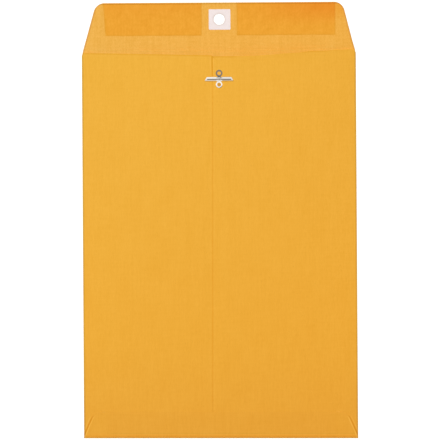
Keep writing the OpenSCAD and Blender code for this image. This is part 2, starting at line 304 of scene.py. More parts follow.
class FoldedPaper:
    """Where the middle of the folded paper runs, worked out from the sizes."""

    def __init__(self, settings):
        self.blank = settings.blank
        self.mouth = settings.mouth
        self.flap = settings.flap
        self.bottom = settings.bottom
        self.t = self.blank.paper_t
        self.bottom_y = BLANK_LOW.y
        self.edge_y = BLANK_HIGH.y
        self.shoulder_y = self.bottom_y + self.blank.pocket_h
        self.score_y = self.shoulder_y + self.flap.score_rise
        self.fold_outer_r = self.blank.fold_r + self.t
        self.crease_x = BODY_W / 2 - self.fold_outer_r
        self.score_x = BODY_W / 2 - self.flap.shoulder_cut
        self.back_z = 2 * self.blank.fold_r + self.t
        self.stack = self.back_z + 3 * self.t
        self.bottom_r = self.stack / 2
        self.bottom_crease_y = self.bottom_y + self.bottom_r
        self.panel_end_y = self.bottom_crease_y + 0.05 * MM
        self.bottom_end_y = self.bottom_y + self.bottom.depth
        self.bottom_end_x = (BODY_W / 2 - (self.bottom.depth - self.bottom.run)
                             * math.tan(self.bottom.slant))
        self.puff_start_y = self.bottom_end_y + 1 * MM
        self.puff_end_y = self.shoulder_y - self.blank.level_l
        self.seam_middle_x = self.seam_x((self.bottom_y + self.shoulder_y) / 2)

    def seam_x(self, y):
        """Place of the outer panel's glued edge at a height."""
        middle = self.bottom_y + self.blank.pocket_h / 2
        bow = self.blank.seam_bow * ease((y - CLASP.y) / (14 * MM))
        return (-self.blank.seam_offset - bow
                + self.blank.seam_skew * (y - middle) / self.blank.pocket_h)

    def throat_y(self, x):
        """Top edge of the back, inside the notch that ends each side fold."""
        out = min(abs(x) / self.crease_x, 1)
        notch = (self.crease_x - abs(x)) * self.flap.score_rise / (self.crease_x - self.score_x)
        if x < self.seam_x(self.shoulder_y):
            bow = -self.mouth.left_dip + (self.mouth.left_dip + self.mouth.left_rise) * out
        else:
            climb_from, climb_over = 0.16, 0.74
            climb = ease((out - climb_from) / climb_over)
            bow = -self.mouth.right_dip + (self.mouth.right_dip + self.mouth.right_rise) * climb
            bow += self.mouth.ripple * climb * math.sin(x / (3.1 * MM))
        return self.shoulder_y + min(max(notch, 0), bow)

    def puff(self, x, y):
        """Rise of the back above its flat state."""
        half = self.blank.level_w / 2
        s = max(abs(x) - half, 0) / (self.crease_x - half)
        rise = ease((y - self.puff_start_y) / (self.puff_end_y - self.puff_start_y))
        return self.blank.puff_h * (1 - s * s) * rise

    def under_flap(self, x, y):
        """Share of one paper's thickness by which the back rises to meet the bottom flap."""
        along = ease(2 - (y - self.bottom_y - 1 * MM) / self.bottom.depth)
        return along * ease((self.crease_x - abs(x)) / self.blank.seam_ease)

    def cockle(self, x, y):
        """Soft crossed waves of the paper, none at the folds and under the clasp."""
        inset = ease((self.crease_x - abs(x)) / (18 * MM))
        clear = ease((math.hypot(x - CLASP.x, y - CLASP.y) - 14 * MM) / (25 * MM))
        along = ease((y - self.puff_start_y) / (30 * MM))
        wave = (math.sin(x / (17 * MM) + 1.3 * math.sin(y / (41 * MM)))
                + 0.7 * math.sin(y / (26 * MM) + 0.8 * math.cos(x / (29 * MM)))
                + 0.4 * math.sin((x + 0.6 * y) / (11 * MM)))
        return self.blank.cockle * wave * inset * clear * along

    def panel_rise(self, x, y):
        """What lifts both layers of the back alike: the puff, the cockle and the lip."""
        lip = ease(1 - (self.throat_y(x) - y) / (2.5 * MM))
        lip *= ease((self.crease_x - abs(x)) / (4 * MM))
        return self.puff(x, y) + self.cockle(x, y) + self.mouth.lip_lift * lip

    def left_z(self, x, y):
        """Middle of the inner panel, raised beside the overlap to meet the bottom flap."""
        beside = ease((self.seam_x(y) - x) / self.blank.seam_ease)
        return (self.back_z + self.t / 2 + self.panel_rise(x, y)
                + self.t * self.under_flap(x, y) * beside)

    def right_z(self, x, y):
        """Middle of the outer panel, on the overlap and down beside it."""
        past = ease((x - self.seam_x(y) - self.blank.seam_overlap) / self.blank.seam_ease)
        lift = self.blank.seam_lift * ease(1 - (x - self.seam_x(y)) / (1.2 * MM))
        lift *= ease((y - self.bottom_end_y) / (6 * MM))
        return (self.back_z + self.t / 2 + self.panel_rise(x, y) + lift
                + self.t * (1 - past * (1 - self.under_flap(x, y))))

    def flap_z(self, y):
        """Middle of the seal flap: a pressed score, then a slight curl off the table."""
        from_score = abs(y - self.score_y) / (self.flap.score_w / 2)
        score = self.flap.score_depth * ease(1 - from_score)
        out = max(y - self.score_y, 0) / (self.edge_y - self.score_y)
        return self.t / 2 - score + self.flap.curl * out ** 2

    def flap_top_z(self, y):
        """Upper face of the seal flap, which the gum and the patch lie on."""
        return self.flap_z(y) + self.t / 2

    def folded_y(self, x, y):
        """Brings the bottom and the right shoulder out of square, as they are folded."""
        low = ease((self.bottom_y + 70 * MM - y) / (70 * MM))
        high = ease(1 - abs(y - self.shoulder_y) / (10 * MM)) * ease((x - 84 * MM) / (9 * MM))
        return (y - x * math.tan(self.blank.bottom_out_of_square) * low
                + self.mouth.shoulder_rise * high)

    def lean(self, y):
        """Sideways place of the seal flap's middle at a height."""
        return self.flap.lean * max(y - self.shoulder_y, 0) / (self.edge_y - self.shoulder_y)

    def flap_half_w(self, y):
        """Half the width of the seal flap at a height."""
        slant = self.flap.slant
        end_x = self.score_x - (self.edge_y - self.score_y) * math.tan(slant)
        return rounded_half_w(y, end_x, self.edge_y, slant, self.flap.corner_r)

    def shoulder_half_w(self, y):
        """Half the width between the tops of the side folds and the score line."""
        rise = (y - self.shoulder_y) / (self.score_y - self.shoulder_y)
        return self.crease_x + (self.score_x - self.crease_x) * rise

    def bottom_half_w(self, y):
        """Half the width of the bottom flap at a height."""
        slanted = rounded_half_w(y, self.bottom_end_x, self.bottom_end_y, self.bottom.slant,
                                 self.bottom.corner_r)
        return min(slanted, BODY_W / 2)


def corner_middle(end_x, end_y, slant, radius):
    """Middle of the arc that rounds a slanted end into a level edge."""
    return end_x - radius * math.tan(math.pi / 4 - slant / 2), end_y - radius


def rounded_half_w(y, end_x, end_y, slant, radius):
    """Half the width at a height of a flap with slanted ends and rounded corners."""
    middle_x, middle_y = corner_middle(end_x, end_y, slant, radius)
    if y <= middle_y + radius * math.sin(slant):
        return end_x + (end_y - y) * math.tan(slant)
    reach = max(radius ** 2 - (y - middle_y) ** 2, 0)
    return middle_x + math.sqrt(reach)


def corner_rows(end_x, end_y, slant, radius, steps):
    """Heights that step evenly round a flap's rounded corner."""
    middle_y = corner_middle(end_x, end_y, slant, radius)[1]
    turn = math.pi / 2 - slant
    return [middle_y + radius * math.sin(slant + turn * i / steps) for i in range(steps + 1)]


def narrowed(x, half_w, inner, full):
    """Moves the outer columns of a flap in, so that the last one follows its end."""
    if abs(x) <= inner:
        return x
    return math.copysign(inner + (abs(x) - inner) * (half_w - inner) / (full - inner), x)


def border_of(grid):
    """The places round the border of a grid, once round from its first corner."""
    return (grid[0] + [row[-1] for row in grid[1:]] + list(reversed(grid[-1][:-1]))
            + [row[0] for row in reversed(grid[1:-1])])


LAYERS = ("rim_gap", "lap_gap", "lap_wear", "fold_gap")


class SheetMesh:
    """A mesh of joined grids, with the distances that its finish is drawn from."""

    def __init__(self):
        self.mesh = bmesh.new()
        self.layers = {name: self.mesh.verts.layers.float.new(name) for name in LAYERS}

    def vertex(self, spot):
        """Adds a spot with its distances."""
        made = self.mesh.verts.new((spot.x, spot.y, spot.z))
        for name in LAYERS:
            made[self.layers[name]] = getattr(spot, name)
        return made

    def grid(self, rows, flip=False, skip=None):
        """Adds one grid of spots. skip(row, column) leaves a face out."""
        made = [[self.vertex(spot) for spot in row] for row in rows]
        self.faces(made, flip, skip)
        return made

    def faces(self, made, flip=False, skip=None):
        """Adds the faces between rows of vertices."""
        for r in range(len(made) - 1):
            for c in range(len(made[r]) - 1):
                if skip and skip(r, c):
                    continue
                corners = [made[r][c], made[r][c + 1], made[r + 1][c + 1], made[r + 1][c]]
                self.mesh.faces.new(reversed(corners) if flip else corners)

    def finish(self, name, weld=0.0):
        """Welds the grids' shared borders and makes the object."""
        if weld:
            bmesh.ops.remove_doubles(self.mesh, verts=self.mesh.verts, dist=weld)
        return mesh_object(name, self.mesh)


def mesh_object(name, mesh):
    """Makes a scene object of a bmesh, which is used up."""
    data = bpy.data.meshes.new(name)
    mesh.to_mesh(data)
    mesh.free()
    made = bpy.data.objects.new(name, data)
    bpy.context.scene.collection.objects.link(made)
    return made


def apply_modifiers(piece):
    """Replaces a piece's mesh by what its modifiers make of it."""
    graph = bpy.context.evaluated_depsgraph_get()
    made = bpy.data.meshes.new_from_object(piece.evaluated_get(graph))
    piece.modifiers.clear()
    piece.data = made


def thicken(piece, thickness, inner=0, rim=0):
    """Gives a sheet its thickness, half to each side."""
    solid = piece.modifiers.new("thickness", "SOLIDIFY")
    solid.thickness = thickness
    solid.offset = 0
    solid.use_even_offset = False
    solid.material_offset = inner
    solid.material_offset_rim = rim
    apply_modifiers(piece)


def shade(piece, sharp_from):
    """Smooth shading, with sharp edges where faces meet at more than an angle."""
    piece.data.polygons.foreach_set("use_smooth", [True] * len(piece.data.polygons))
    piece.data.set_sharp_from_angle(angle=math.radians(sharp_from))
    piece.data.update()


def paint(piece, *materials):
    """Fills a piece's material slots."""
    for material in materials:
        piece.data.materials.append(material)


def settle(piece, node):
    """Puts a finished piece in its CAD node's place."""
    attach(piece, "root")
    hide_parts(node)


def settings_of(context):
    """The sizes and finishes that the user has set."""
    return context.scene.clasp_envelope


class Finish:
    """A material that is being put together, with short ways to add its nodes."""

    def __init__(self, name):
        self.material = bpy.data.materials.new(name)
        self.material.use_nodes = True
        self.tree = self.material.node_tree
        self.shader = self.tree.nodes["Principled BSDF"]
        self.place = self.add("ShaderNodeTexCoord").outputs["Object"]

    def add(self, kind, inputs=(), **settings):
        """Adds a node with its inputs and its own settings."""
        node = self.tree.nodes.new(kind)
        for key, value in settings.items():
            setattr(node, key, value)
        for socket, value in dict(inputs).items():
            self.put(node.inputs[socket], value)
        return node

    def put(self, socket, value):
        """Links a socket to an output, or sets its value."""
        if isinstance(value, bpy.types.NodeSocket):
            self.tree.links.new(value, socket)
        elif hasattr(value, "__len__") and len(value) == 3 and len(socket.default_value) == 4:
            socket.default_value = (*value, 1)
        else:
            socket.default_value = value

    def set(self, **sockets):
        """Sets the shader's own sockets, named with underscores."""
        for name, value in sockets.items():
            self.put(self.shader.inputs[name.replace("_", " ")], value)

    def noise(self, across, along, detail):
        """Noise with a grain of these sizes across and along the envelope."""
        through = (across + along) / 2
        stretched = self.add("ShaderNodeMapping", {
            "Vector": self.place, "Scale": (1 / across, 1 / along, 1 / through)})
        return self.add("ShaderNodeTexNoise", {
            "Vector": stretched.outputs[0], "Scale": 1.0, "Detail": detail}).outputs["Fac"]

    def distance(self, name):
        """One of the distances that the mesh carries at its vertices."""
        return self.add("ShaderNodeAttribute", attribute_name=name,
                        attribute_type="GEOMETRY").outputs["Fac"]

    def ramp(self, value, start, end, low=0.0, high=1.0, way="SMOOTHSTEP"):
        """Turns a value between start and end into one between low and high."""
        return self.add("ShaderNodeMapRange", {
            "Value": value, "From Min": start, "From Max": end, "To Min": low, "To Max": high},
            interpolation_type=way).outputs["Result"]

    def shades(self, value, *stops):
        """Goes through colours, each given with the value where it is reached."""
        node = self.add("ShaderNodeValToRGB", {0: value})
        node.color_ramp.interpolation = "CARDINAL"
        marks = node.color_ramp.elements
        while len(marks) < len(stops):
            marks.new(0.5)
        for mark, (place, tone) in zip(marks, stops):
            mark.position = place
            mark.color = (*tone, 1)
        return node.outputs["Color"]

    def math(self, operation, *values):
        """Works out one number from others."""
        node = self.add("ShaderNodeMath", operation=operation)
        for socket, value in zip(node.inputs, values):
            self.put(socket, value)
        return node.outputs[0]

    def line(self, gap, middle, half_width):
        """1 where a distance has this value, easing to 0 on both sides."""
        away = self.math("ABSOLUTE", self.math("SUBTRACT", gap, middle))
        return self.ramp(away, half_width, 0.0)

    def mix(self, amount, first, second, blend="MIX"):
        """Goes from one colour to another, or lays the second over the first."""
        node = self.add("ShaderNodeMix", data_type="RGBA", blend_type=blend)
        self.put(node.inputs[0], amount)
        self.put(node.inputs[6], first)
        self.put(node.inputs[7], second)
        return node.outputs[2]

    def vary(self, base, value, spread, balance=(1, 1, 1)):
        """Makes a colour darker and lighter by a share, as a noise value goes from 0 to 1."""
        dark = [1 - spread * part for part in balance]
        light = [1 + spread * part for part in balance]
        level = self.mix(self.ramp(value, 0.25, 0.75), dark, light)
        return self.mix(1.0, base, level, "MULTIPLY")

    def bump(self, height, distance, normal=None):
        """A normal that follows a height, on top of another normal."""
        node = self.add("ShaderNodeBump", {"Height": height, "Distance": distance})
        if normal:
            self.put(node.inputs["Normal"], normal)
        return node.outputs["Normal"]

    def tinted(self, amount, base, tone):
        """Lays a tint over a colour, as strongly as amount."""
        return self.mix(amount, base, self.mix(1.0, base, tone, "MULTIPLY"))

    def near(self, place, start, end):
        """0 to 1 between two distances from a place, seen from above."""
        level = self.add("ShaderNodeVectorMath", {0: self.place, 1: (1, 1, 0)},
                         operation="MULTIPLY")
        away = self.add("ShaderNodeVectorMath", {0: level.outputs[0], 1: (place.x, place.y, 0)},
                        operation="DISTANCE")
        return self.ramp(away.outputs["Value"], start, end)

    def at(self, axis):
        """Place along an axis of the envelope."""
        return self.add("ShaderNodeSeparateXYZ", {0: self.place}).outputs[axis]

    def along(self, axis, start, end, way="SMOOTHSTEP"):
        """0 to 1 between two places along an axis of the envelope."""
        return self.ramp(self.at(axis), start, end, way=way)


# How strongly the fibres of the kraft change its red, its green and its blue
KRAFT_BALANCE = (0.56, 1.12, 3.2)
# Dark fibres in the kraft, and the greyer tone of the patch's pressed ring
FLECK = display_colour(190, 120, 38)
PATCH_RING_GREY = display_colour(225, 210, 200)


def kraft_grain(finish, base, strength, fibre_l):
    """Machine grain of kraft paper: fine fibres, streaks, clouds and a few flecks."""
    fibres = finish.noise(0.35 * MM, fibre_l, 4)
    streaks = finish.noise(1.4 * MM, 22 * MM, 3)
    weft = finish.noise(9 * MM, 1.2 * MM, 2)
    clouds = finish.noise(14 * MM, 18 * MM, 3)
    tinted = base
    for grain, spread in ((fibres, 0.022), (streaks, 0.010), (weft, 0.007), (clouds, 0.006)):
        tinted = finish.vary(tinted, grain, spread * strength, KRAFT_BALANCE)
    flecks = finish.ramp(finish.noise(0.5 * MM, 1.1 * MM, 1), 0.70, 0.78, 0.0, 0.25)
    tinted = finish.mix(flecks, tinted, FLECK)
    grit = finish.bump(finish.noise(0.16 * MM, 0.3 * MM, 3), 0.018 * MM)
    normal = finish.bump(fibres, 0.012 * MM, grit)
    return tinted, normal, fibres


def top_edge(finish, base, colours):
    """Pale fibres on the seal flap's upper edge, and a line of painted shade just inside them."""
    reach = 4
    inside = finish.along("Y", BLANK_HIGH.y, BLANK_HIGH.y - reach * MM, "LINEAR")
    # Painted shade in a thin line just inside the edge
    dark = finish.line(inside, 0.9 / reach, 0.55 / reach)
    pale = finish.ramp(inside, 0.45 / reach, 0.2 / reach, 0.0, 0.6)
    drawn = finish.tinted(dark, base, colours.flap_edge_shade)
    return finish.mix(pale, drawn, colours.torn_fibres)


# Where the painted highlight inside a glued edge runs, in millimetres from that edge
HIGHLIGHT_GAP = 0.8


def lap_lines(finish, base, colours):
    """Painted shadow beside a glued edge or the mouth, and painted highlights on both sides of it.
    """
    gap = finish.distance("lap_gap")
    light_strength = finish.distance("lap_wear")
    # Painted shadow just beside the edge
    shadow = finish.math("MULTIPLY", finish.line(gap, -0.2, 0.8),
                         finish.math("MINIMUM", light_strength, 0.9))
    drawn = finish.tinted(shadow, base, colours.lap_shadow)
    # Painted highlights on both sides of that shadow
    for middle, half_width, strength in ((HIGHLIGHT_GAP, 0.6, 0.45), (-1.4, 0.55, 0.3)):
        painted = finish.math("MULTIPLY", finish.line(gap, middle, half_width), light_strength)
        drawn = finish.mix(finish.math("MULTIPLY", painted, strength), drawn, colours.lap_highlight)
    return drawn


def paper_finish(name, base, outline_shade, roughness, strength, fibre_l):
    """Kraft paper with its grain, and painted shade along its outline, over a base colour."""
    finish = Finish(name)
    tinted, normal, fibres = kraft_grain(finish, base(finish), strength, fibre_l)
    # Painted shade in a thin line along the outline
    outline = finish.ramp(finish.distance("rim_gap"), 1.05, 0.4)
    spread = 0.06
    finish.set(Base_Color=finish.tinted(outline, tinted, outline_shade), Normal=normal,
               Roughness=finish.ramp(fibres, 0.2, 0.8, roughness - spread, roughness + spread),
               Specular_IOR_Level=0.12, Sheen_Weight=0.02, Sheen_Roughness=0.6)
    return finish.material


def lower_eyelet(sizes):
    """Middle of the clasp's lower eyelet."""
    return Vector((CLASP.x - sizes.eyelet_shift, CLASP.y - sizes.eyelet_pitch / 2, 0))


def kraft_outside(settings):
    """Outside of the paper, redder towards its bottom and its right."""
    colours = settings.finish
    flap_depth = settings.bottom.depth / MM
    crease_gap, ridge_gap = 3.2, 2.4

    def base(finish):
        up = finish.along("Y", BLANK_LOW.y, BLANK_HIGH.y, "LINEAR")
        shades = finish.shades(up, (0.02, colours.outside_bottom), (0.19, colours.outside_low),
                               (0.4, colours.outside_middle), (0.86, colours.outside_top))
        across = finish.along("X", BLANK_LOW.x, BLANK_HIGH.x, "LINEAR")
        drawn = finish.tinted(across, shades, colours.right_tint)
        above_fold = finish.distance("fold_gap")
        inner = finish.ramp(finish.math("ABSOLUTE", finish.at("X")), 84 * MM, 74 * MM)
        below_edge = finish.ramp(above_fold, flap_depth + 0.2, flap_depth - 0.1)
        drawn = finish.tinted(finish.math("MULTIPLY", below_edge, inner), drawn,
                              colours.fold_tone)
        # Painted shade in a line along the crease, and a painted highlight on the ridge below it
        crease = finish.math("MULTIPLY", finish.line(above_fold, crease_gap, 0.7),
                             finish.along("X", -82 * MM, -74 * MM))
        drawn = finish.tinted(crease, drawn, colours.crease_shade)
        ridge = finish.math("MULTIPLY", finish.line(above_fold, ridge_gap, 0.6), 0.35)
        drawn = finish.mix(ridge, drawn, colours.ridge_highlight)
        drawn = finish.tinted(finish.ramp(above_fold, 2.6, 1.0), drawn, colours.fold_flank)
        # Painted shade on the paper in the lower eyelet's bore
        shadowing = finish.near(lower_eyelet(settings.clasp), 1.5 * MM, 1.0 * MM)
        drawn = finish.tinted(shadowing, drawn, colours.eyelet_shade)
        return lap_lines(finish, drawn, colours)
    return paper_finish("kraft_outside", base, colours.outline_shade, 0.68, 1.75, 3 * MM)


def kraft_inside(colours):
    """Inside of the paper, with painted shade beside the mouth and hazy beside the thick gum."""
    def base(finish):
        drawn = finish.mix(finish.along("X", BLANK_LOW.x, BLANK_HIGH.x),
                           colours.inside_left, colours.inside_right)
        # Painted shade beside the mouth, which takes back the light bounced out of the pocket
        gap = finish.distance("lap_gap")
        far = finish.ramp(gap, -11, -2.5, 0.0, 0.4, "LINEAR")
        near = finish.ramp(gap, -3.4, -2.3, 0.0, 0.6)
        glow = finish.math("MULTIPLY", finish.math("ADD", far, near), finish.distance("lap_wear"))
        drawn = finish.tinted(glow, drawn, colours.mouth_shade)
        haze = finish.math("MULTIPLY", finish.along("X", 76 * MM, 80 * MM),
                           finish.along("Y", BLANK_HIGH.y - 15 * MM, BLANK_HIGH.y - 3 * MM))
        return top_edge(finish, finish.tinted(haze, drawn, colours.gum_haze), colours)
    return paper_finish("kraft_inside", base, colours.inside_outline_shade, 0.76, 3.3, 1.3 * MM)


def kraft_cut(colours):
    """Cut edges of the paper."""
    finish = Finish("kraft_cut_edge")
    fuzz = finish.noise(0.2 * MM, 0.2 * MM, 3)
    finish.set(Base_Color=finish.vary(colours.cut_edge, fuzz, 0.08),
               Roughness=finish.ramp(fuzz, 0.2, 0.8, 0.8, 0.95), Specular_IOR_Level=0.1)
    return finish.material


def gum_film(colours):
    """Dried gum: a satin film with the paper's streaks in it, redder where it lies thick."""
    finish = Finish("dried_gum")
    across = finish.along("X", HOLE.x, BLANK_HIGH.x - 12 * MM)
    up = finish.along("Y", BLANK_HIGH.y - 17 * MM, BLANK_HIGH.y, "LINEAR")
    rightward = finish.math("MAXIMUM", across, finish.math("MULTIPLY", up, 0.2))
    thick = finish.math("MULTIPLY", rightward, finish.math("MINIMUM", up, 0.78))
    base = finish.mix(thick, colours.gum, colours.gum_deep)
    strokes = finish.noise(1.6 * MM, 12 * MM, 4)
    fibres = finish.noise(0.9 * MM, 1.5 * MM, 3)
    pools = finish.noise(6 * MM, 5 * MM, 3)
    for grain, spread in ((strokes, 0.03), (fibres, 0.04), (pools, 0.033)):
        base = finish.vary(base, grain, spread, KRAFT_BALANCE)
    base = top_edge(finish, base, colours)
    border = finish.ramp(finish.distance("lap_gap"), 1.3, 0.5)
    base = finish.tinted(border, base, colours.gum_border)
    normal = finish.bump(strokes, 0.02 * MM, finish.bump(fibres, 0.01 * MM))
    finish.set(Base_Color=base, Normal=normal, Specular_IOR_Level=0.1,
               Roughness=finish.ramp(pools, 0.25, 0.75, 0.4, 0.55))
    return finish.material


def patch_stock(colours):
    """White reinforcing stock: fine fibres, a little greyer in the pressed ring round the hole."""
    finish = Finish("patch_stock")
    weave = finish.noise(0.6 * MM, 0.6 * MM, 3)
    clouds = finish.noise(3 * MM, 3 * MM, 2)
    base = finish.vary(colours.patch, weave, 0.03)
    base = finish.vary(base, clouds, 0.012)
    ring = finish.ramp(finish.distance("rim_gap"), 1.6, 0.1, 0.0, 0.5)
    base = finish.mix(ring, base, PATCH_RING_GREY)
    finish.set(Base_Color=base, Specular_IOR_Level=0.2,
               Roughness=finish.ramp(weave, 0.2, 0.8, 0.7, 0.85),
               Normal=finish.bump(weave, 0.02 * MM))
    return finish.material


def tinned_steel(colours):
    """Tin plate over steel, with painted highlights, painted shade and painted reflections."""
    finish = Finish("tinned_steel")
    scratches = finish.noise(2.5 * MM, 0.12 * MM, 3)
    grain = finish.noise(0.25 * MM, 0.25 * MM, 3)
    # Painted shade and dark reflection, painted highlight and painted reflection of the kraft, from
    # the stamping's vertices
    dimmer = finish.distance("shade_and_dark_reflection")
    base = finish.mix(finish.distance("gleam"), colours.tin, colours.tin_highlight)
    base = finish.mix(finish.distance("glow"), base, colours.mirrored_kraft)
    base = finish.vary(finish.mix(dimmer, base, colours.shade_and_dark_reflection), grain, 0.04)
    rough = finish.math("ADD", finish.ramp(scratches, 0.3, 0.7, 0.2, 0.32),
                        finish.math("MULTIPLY", dimmer, 0.15))
    finish.set(Base_Color=base, Metallic=1.0, Roughness=rough,
               Normal=finish.bump(scratches, 0.004 * MM, finish.bump(grain, 0.004 * MM)))
    return finish.material


class ENVELOPE_OT_fold_blank(bpy.types.Operator):
    """Folds and glues the kraft paper blank"""
    bl_idname = "clasp_envelope.fold_blank"
    bl_label = "Fold the blank"

    def execute(self, context):
        settings = settings_of(context)
        paper = FoldedPaper(settings)
        sheet = SheetMesh()
        rows = back_rows(paper)
        add_front(sheet, paper, rows)
        add_left_panel(sheet, paper, rows)
        add_right_panel(sheet, paper, rows)
        add_bottom_flap(sheet, paper)
        add_seal_flap(sheet, paper)
        piece = sheet.finish("envelope_paper", weld=0.001 * MM)
        colours = settings.finish
        paint(piece, kraft_outside(settings), kraft_inside(colours), kraft_cut(colours))
        thicken(piece, paper.t, inner=1, rim=2)
        shade(piece, sharp_from=40)
        settle(piece, "envelope")
        return {"FINISHED"}


def back_rows(paper):
    """Heights of the rows of the front and the back, from the bottom to the mouth."""
    return stations(paper.panel_end_y, (paper.bottom_end_y - 3 * MM, 2.4 * MM),
                    (paper.bottom_end_y + 3 * MM, 0.75 * MM),
                    (paper.shoulder_y - 16 * MM, 2.2 * MM), (paper.shoulder_y - 4 * MM, 1.2 * MM),
                    (paper.shoulder_y, 0.5 * MM))


def front_columns(paper):
    """Places of the columns of the front, from the left fold to the right."""
    half = stations(0, (60 * MM, 3 * MM), (84 * MM, 2.8 * MM), (paper.crease_x, 1.1 * MM))
    return mirrored(half[1:]) + half


def side_share(x):
    """Distance from the nearer side fold, in widths of the painted shade line there."""
    left_line, right_line = 1.6 * MM, 1.5 * MM
    return (x + BODY_W / 2) / left_line if x < 0 else (BODY_W / 2 - x) / right_line


def rim_share(paper, x, y):
    """Distance from the folded outline, in widths of the painted shade line there."""
    bottom_line = 0.9 * MM
    return min(side_share(x), (y - paper.bottom_y) / bottom_line, FAR)


def mouth_shade_share(paper, x):
    """How strongly shade is painted beside the mouth, against the light bounced out of the pocket.
    """
    right = ease(x / (20 * MM))
    return ease((paper.crease_x - abs(x)) / (16 * MM)) * (0.85 - 0.15 * right)


def inside_spot(paper, x, y, z):
    """A spot on the front and the score, where the inside of the paper shows."""
    above = (y - paper.throat_y(x)) / MM
    return Spot(x, paper.folded_y(x, y), z, rim_share(paper, x, y), -max(above, -FAR),
                mouth_shade_share(paper, x))


def add_front(sheet, paper, rows):
    """Front of the pocket, flat on the table."""
    columns = front_columns(paper)
    heights = [paper.bottom_crease_y] + rows
    sheet.grid([[inside_spot(paper, x, y, paper.t / 2) for x in columns] for y in heights],
               flip=True)


def bottom_flap_gap(paper, x, y):
    """Distance of a spot from the bottom flap's outline, below zero outside it."""
    outside = (abs(x) - paper.bottom_half_w(y)) * math.cos(paper.bottom.slant)
    if y > paper.bottom_end_y:
        outside = math.hypot(max(outside, 0), y - paper.bottom_end_y)
    return -outside / MM


def back_spot(paper, x, y, z, seam_gap):
    """A spot on a back panel, by the seam, the mouth or the bottom flap."""
    # How strongly the painted shadow and highlights show by the seam, the mouth and the bottom flap
    seam_light_strength = 0.35 + 0.65 * ease((y - CLASP.y) / (4 * MM))
    mouth_gap = 0.2 - (paper.throat_y(x) - y) / MM
    right = ease((x - 9 * MM) / (8 * MM))
    bent = ease(1 - abs(x - 68 * MM) / (16 * MM))
    mouth_light_strength = 0.35 - 0.31 * right + 0.36 * bent
    flap_gap = bottom_flap_gap(paper, x, y)
    places = ((seam_gap, seam_light_strength), (mouth_gap, mouth_light_strength),
              (flap_gap, bottom_flap_light_strength(paper, x, y)))
    gap, light_strength = min(places, key=lambda place: abs(place[0]))
    return Spot(x, paper.folded_y(x, y), z, rim_share(paper, x, y),
                max(min(gap, FAR), -FAR), light_strength * ease(3 - abs(gap)))


def bottom_flap_light_strength(paper, x, y):
    """Painted shade and highlights on the bottom flap's outline: plain on its slants, faint on its
    edge.
    """
    slants = ease((paper.bottom_end_y - 2.5 * MM - y) / (1.3 * MM))
    outer = ease((abs(x) - 45 * MM) / (15 * MM))
    return 0.03 + 0.1 * outer * (1 - slants) + 1.45 * slants


def follow_seam(paper, x, y):
    """Lets the columns near the seam run along its edge."""
    middle = paper.seam_middle_x
    near = ease(1 - (abs(x - middle) - 20 * MM) / (40 * MM))
    return x + (paper.seam_x(y) - middle) * near


def mouth_y(paper, x, y):
    """Spreads the run of the mouth's edge over the top rows of a panel."""
    near = ease(1 - (paper.shoulder_y - y) / paper.mouth.bend_l)
    return y + (paper.throat_y(x) - paper.shoulder_y) * near


def fold_ring(paper, side):
    """Places round a side fold from the front up to the back, as X and Z."""
    radius = paper.blank.fold_r + paper.t / 2
    steps = 8
    ring = []
    for i in range(steps):
        turn = math.radians(270 + side * 180 * i / steps)
        ring.append((side * paper.crease_x + radius * math.cos(turn),
                     paper.fold_outer_r + radius * math.sin(turn)))
    return ring


def side_stations(paper, inner):
    """Distances of a panel's columns from the centreline, from its fold inwards."""
    x = paper.crease_x
    return stations(x, (x - 0.6 * MM, 0.2 * MM), (x - 3 * MM, 0.6 * MM), (x - 12 * MM, 1.5 * MM),
                    (inner + 24 * MM, 2.4 * MM), (inner + 4 * MM, 1.6 * MM), (inner, 0.5 * MM))


def panel_row(paper, columns, y, height):
    """One row of a back panel, led along the seam and up to the mouth's edge."""
    row = []
    for column in columns:
        x = follow_seam(paper, column, y)
        top = mouth_y(paper, x, y)
        seam_gap = (x - paper.seam_x(y)) / MM
        row.append(back_spot(paper, x, top, height(x, top), seam_gap))
    return row


def add_left_panel(sheet, paper, rows):
    """Left fold and the inner panel, which ends under the overlap."""
    middle = paper.seam_middle_x
    columns = [-x for x in side_stations(paper, -middle)]
    columns += stations(middle, (middle + 1 * MM, 0.5 * MM),
                        (middle + paper.blank.seam_overlap, 2.2 * MM))[1:]
    ring = fold_ring(paper, -1)
    sheet.grid([[back_spot(paper, x, y, z, -FAR) for x, z in ring]
                + panel_row(paper, columns, y, paper.left_z) for y in rows])


def add_right_panel(sheet, paper, rows):
    """Outer panel, from its glued edge to the right fold."""
    middle = paper.seam_middle_x
    near = stations(middle, (middle + 2 * MM, 0.4 * MM), (0, 1 * MM))
    columns = near + list(reversed(side_stations(paper, 0)))[1:]
    ring = list(reversed(fold_ring(paper, 1)))
    sheet.grid([panel_row(paper, columns, y, paper.right_z)
                + [back_spot(paper, x, y, z, FAR) for x, z in ring] for y in rows])


def bottom_fold_rows(paper, columns, inner):
    """Rows round the bottom fold, from the front up to the bottom flap.

    The fold has painted highlights, its own and the ridge's above it, but no painted shade line.
    """
    radius = paper.bottom_r - paper.t / 2
    steps = 10
    plain_rim = 1.1
    ridge_gap = 2.7
    rows = []
    for i in range(steps):
        turn = math.radians(270 - 180 * i / steps)
        y = paper.bottom_crease_y + radius * math.cos(turn)
        z = paper.bottom_r + radius * math.sin(turn)
        half_w = paper.crease_x + paper.fold_outer_r * ease(2 * i / steps)
        row = []
        for column in columns:
            x = narrowed(column, half_w, inner, paper.crease_x)
            # Painted highlight along the fold, fading at its ends
            light_strength = 2 * ease((BODY_W / 2 - abs(x)) / (3 * MM))
            row.append(Spot(x, paper.folded_y(x, y), z, min(side_share(x), plain_rim),
                            HIGHLIGHT_GAP, light_strength, ridge_gap))
        rows.append(row)
    return rows


